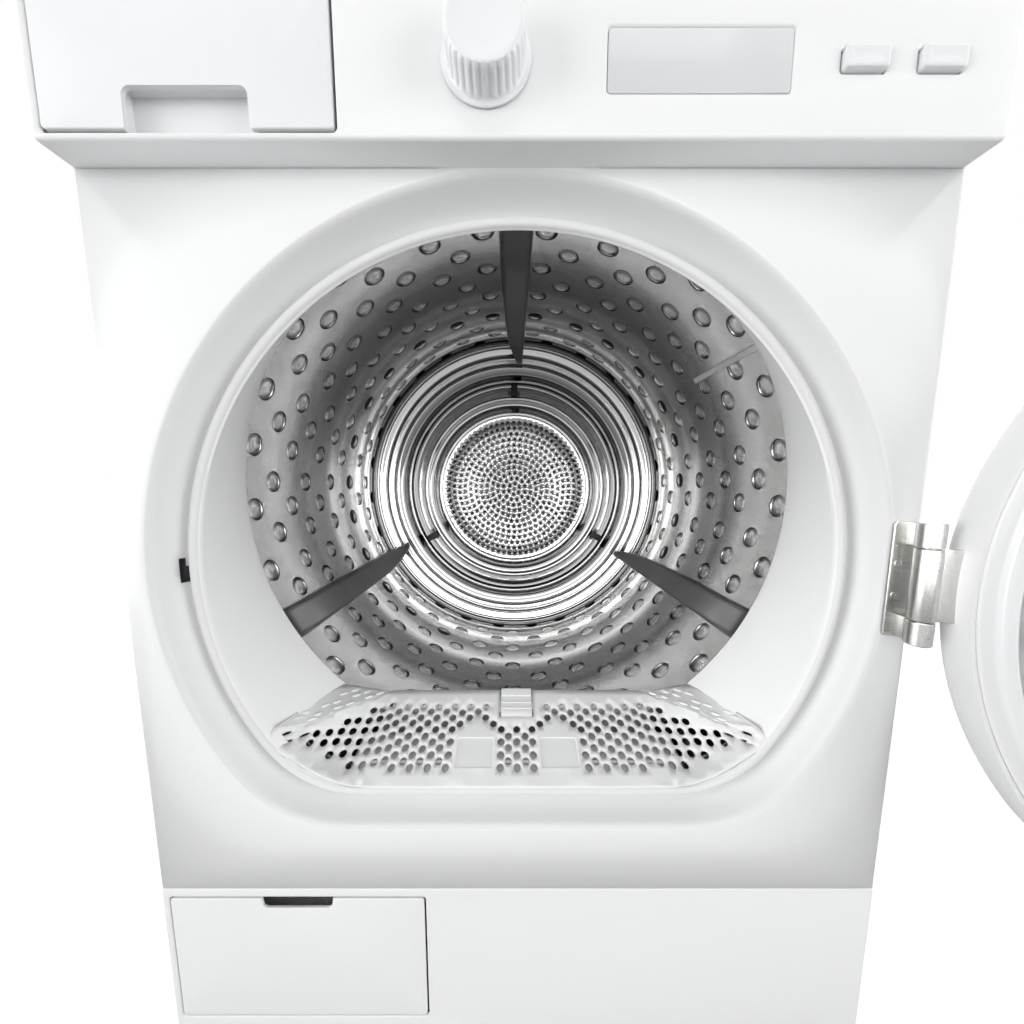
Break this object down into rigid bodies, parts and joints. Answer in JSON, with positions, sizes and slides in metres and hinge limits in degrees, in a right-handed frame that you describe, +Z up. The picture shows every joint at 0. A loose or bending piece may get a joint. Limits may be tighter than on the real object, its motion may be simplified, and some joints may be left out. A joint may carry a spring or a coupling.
{
  "type": "clothes dryer",
  "caption": "Front loading clothes dryer with an open round door, a dimpled steel drum with lifters, a lint filter, belt drive, condenser and water tank.",
  "frame": {"origin": "on the floor under the middle of the cabinet", "axes": "+Z up, -Y out of the front where the door is, +X to the right seen from the front"},
  "size_m": [1.1307, 0.8052, 0.85],
  "materials": {
    "base_steel": "satin",
    "black_rubber": "matt",
    "white_steel": "satin enamel",
    "galvanised_steel": "satin",
    "white_plastic": "satin",
    "white_gloss": "satin",
    "pale_gloss": "gloss",
    "board_green": "matt",
    "grey_plastic": "matt",
    "zinc_steel": "satin",
    "dark_steel": "satin",
    "felt": "matt",
    "aluminium": "satin",
    "black_plastic": "matt",
    "pale_plastic": "matt",
    "stainless": "satin",
    "dark_plastic": "satin",
    "black_paint": "satin",
    "smoked_glass": "gloss",
    "clear_glass": "gloss",
    "grey_rubber": "matt",
    "roller_rubber": "matt",
    "tank_white": "satin",
    "knob_plastic": "satin",
    "button_plastic": "satin"
  },
  "bodies": {
    "cabinet": {"base_tray": "base_steel", "levelling_feet": "black_rubber", "side_panel_left": "white_steel", "side_panel_right": "white_steel", "rear_panel": "galvanised_steel", "worktop": "white_plastic", "front_panel": "white_steel", "kick_panel": "white_plastic", "front_bulkhead": "galvanised_steel", "door_opening_shield": "white_gloss", "control_fascia": "white_plastic", "display_window": "pale_gloss", "control_board": "board_green", "tank_tray": "grey_plastic", "hinge_bracket": "zinc_steel", "door_catch": "grey_plastic", "rear_bulkhead": "galvanised_steel", "rear_air_duct": "galvanised_steel", "drum_bearing": "dark_steel", "front_felt_seal": "felt", "rear_felt_seal": "felt", "roller_axles": "zinc_steel", "filter_duct": "grey_plastic", "fan_housing": "grey_plastic", "motor_body": "dark_steel", "motor_cradle": "zinc_steel", "condenser": "aluminium", "condensate_pump": "black_plastic", "condensate_pipe": "pale_plastic", "drive_belt": "black_rubber", "heater": "dark_steel", "panel_screws": "zinc_steel"},
    "drum": {"drum_shell": "stainless", "drum_lifters": "dark_plastic", "drum_back": "stainless", "drum_spider": "black_paint", "hub_cover": "stainless", "drum_shaft": "dark_steel"},
    "door": {"door_frame": "white_plastic", "door_window": "smoked_glass", "door_inner_frame": "white_gloss", "door_inner_glass": "clear_glass", "door_seal": "grey_rubber", "door_hinge_leaf": "zinc_steel", "door_hook": "zinc_steel"},
    "lint_filter": {"filter_cover": "white_gloss", "filter_box": "pale_plastic"},
    "latch": {"filter_latch": "white_gloss"},
    "motor_shaft": {"motor_rotor": "zinc_steel", "motor_pulley": "dark_steel", "fan_wheel": "black_plastic"},
    "idler": {"idler_arm": "zinc_steel"},
    "idler_wheel": {"idler_pulley": "black_plastic"},
    "left_roller": {"roller_left": "roller_rubber"},
    "right_roller": {"roller_right": "roller_rubber"},
    "tank": {"water_tank": "tank_white"},
    "knob": {"programme_knob": "knob_plastic"},
    "start": {"start_button": "button_plastic"},
    "option": {"option_button": "button_plastic"},
    "flap": {"condenser_flap": "white_plastic"}
  },
  "joints": [
    {"name": "drum_spin", "type": "hinge", "parent": "cabinet", "child": "drum", "pos_m": [0, 0, 0.515], "axis": [0, 1, 0], "continuous": true},
    {"name": "door_swing", "type": "hinge", "parent": "cabinet", "child": "door", "pos_m": [0.288, -0.3155, 0.455], "axis": [0, 0, 1], "range_deg": [-165, 0]},
    {"name": "filter_lift", "type": "slide", "parent": "cabinet", "child": "lint_filter", "axis": [0, 0, 1], "range_m": [0, 0.12]},
    {"name": "latch_press", "type": "hinge", "parent": "lint_filter", "child": "latch", "pos_m": [0, -0.2285, 0.28748], "axis": [-1, 0, 0], "range_deg": [0, 5], "stiffness_Nm_per_rad": 0.1},
    {"name": "motor_spin", "type": "hinge", "parent": "cabinet", "child": "motor_shaft", "pos_m": [0.15, 0, 0.15], "axis": [0, 1, 0], "continuous": true},
    {"name": "roller_left_spin", "type": "hinge", "parent": "cabinet", "child": "left_roller", "pos_m": [-0.1797, 0, 0.25836], "axis": [0, 1, 0], "continuous": true},
    {"name": "roller_right_spin", "type": "hinge", "parent": "cabinet", "child": "right_roller", "pos_m": [0.1797, 0, 0.25836], "axis": [0, 1, 0], "continuous": true},
    {"name": "idler_swing", "type": "hinge", "parent": "cabinet", "child": "idler", "pos_m": [0.05195, 0, 0.09], "axis": [0, -1, 0], "range_deg": [0, 10], "stiffness_Nm_per_rad": 1},
    {"name": "idler_spin", "type": "hinge", "parent": "idler", "child": "idler_wheel", "pos_m": [-0.00005, 0, 0.17987], "axis": [0, 1, 0], "continuous": true},
    {"name": "tank_slide", "type": "slide", "parent": "cabinet", "child": "tank", "axis": [0, -1, 0], "range_m": [0, 0.45]},
    {"name": "knob_turn", "type": "hinge", "parent": "cabinet", "child": "knob", "pos_m": [-0.02, 0, 0.7775], "axis": [0, 1, 0], "continuous": true},
    {"name": "start_press", "type": "slide", "parent": "cabinet", "child": "start", "axis": [0, 1, 0], "range_m": [0, 0.002], "stiffness_N_per_m": 200},
    {"name": "option_press", "type": "slide", "parent": "cabinet", "child": "option", "axis": [0, 1, 0], "range_m": [0, 0.002], "stiffness_N_per_m": 200},
    {"name": "flap_open", "type": "hinge", "parent": "cabinet", "child": "flap", "pos_m": [-0.1785, -0.2955, 0.068], "axis": [1, 0, 0], "range_deg": [0, 90]}
  ],
  "couplings": [
    {"joint": "motor_spin", "follows": "drum_spin", "ratio": 32.033},
    {"joint": "roller_left_spin", "follows": "drum_spin", "ratio": -11.52},
    {"joint": "roller_right_spin", "follows": "drum_spin", "ratio": -11.52},
    {"joint": "idler_spin", "follows": "drum_spin", "ratio": -16.156}
  ]
}
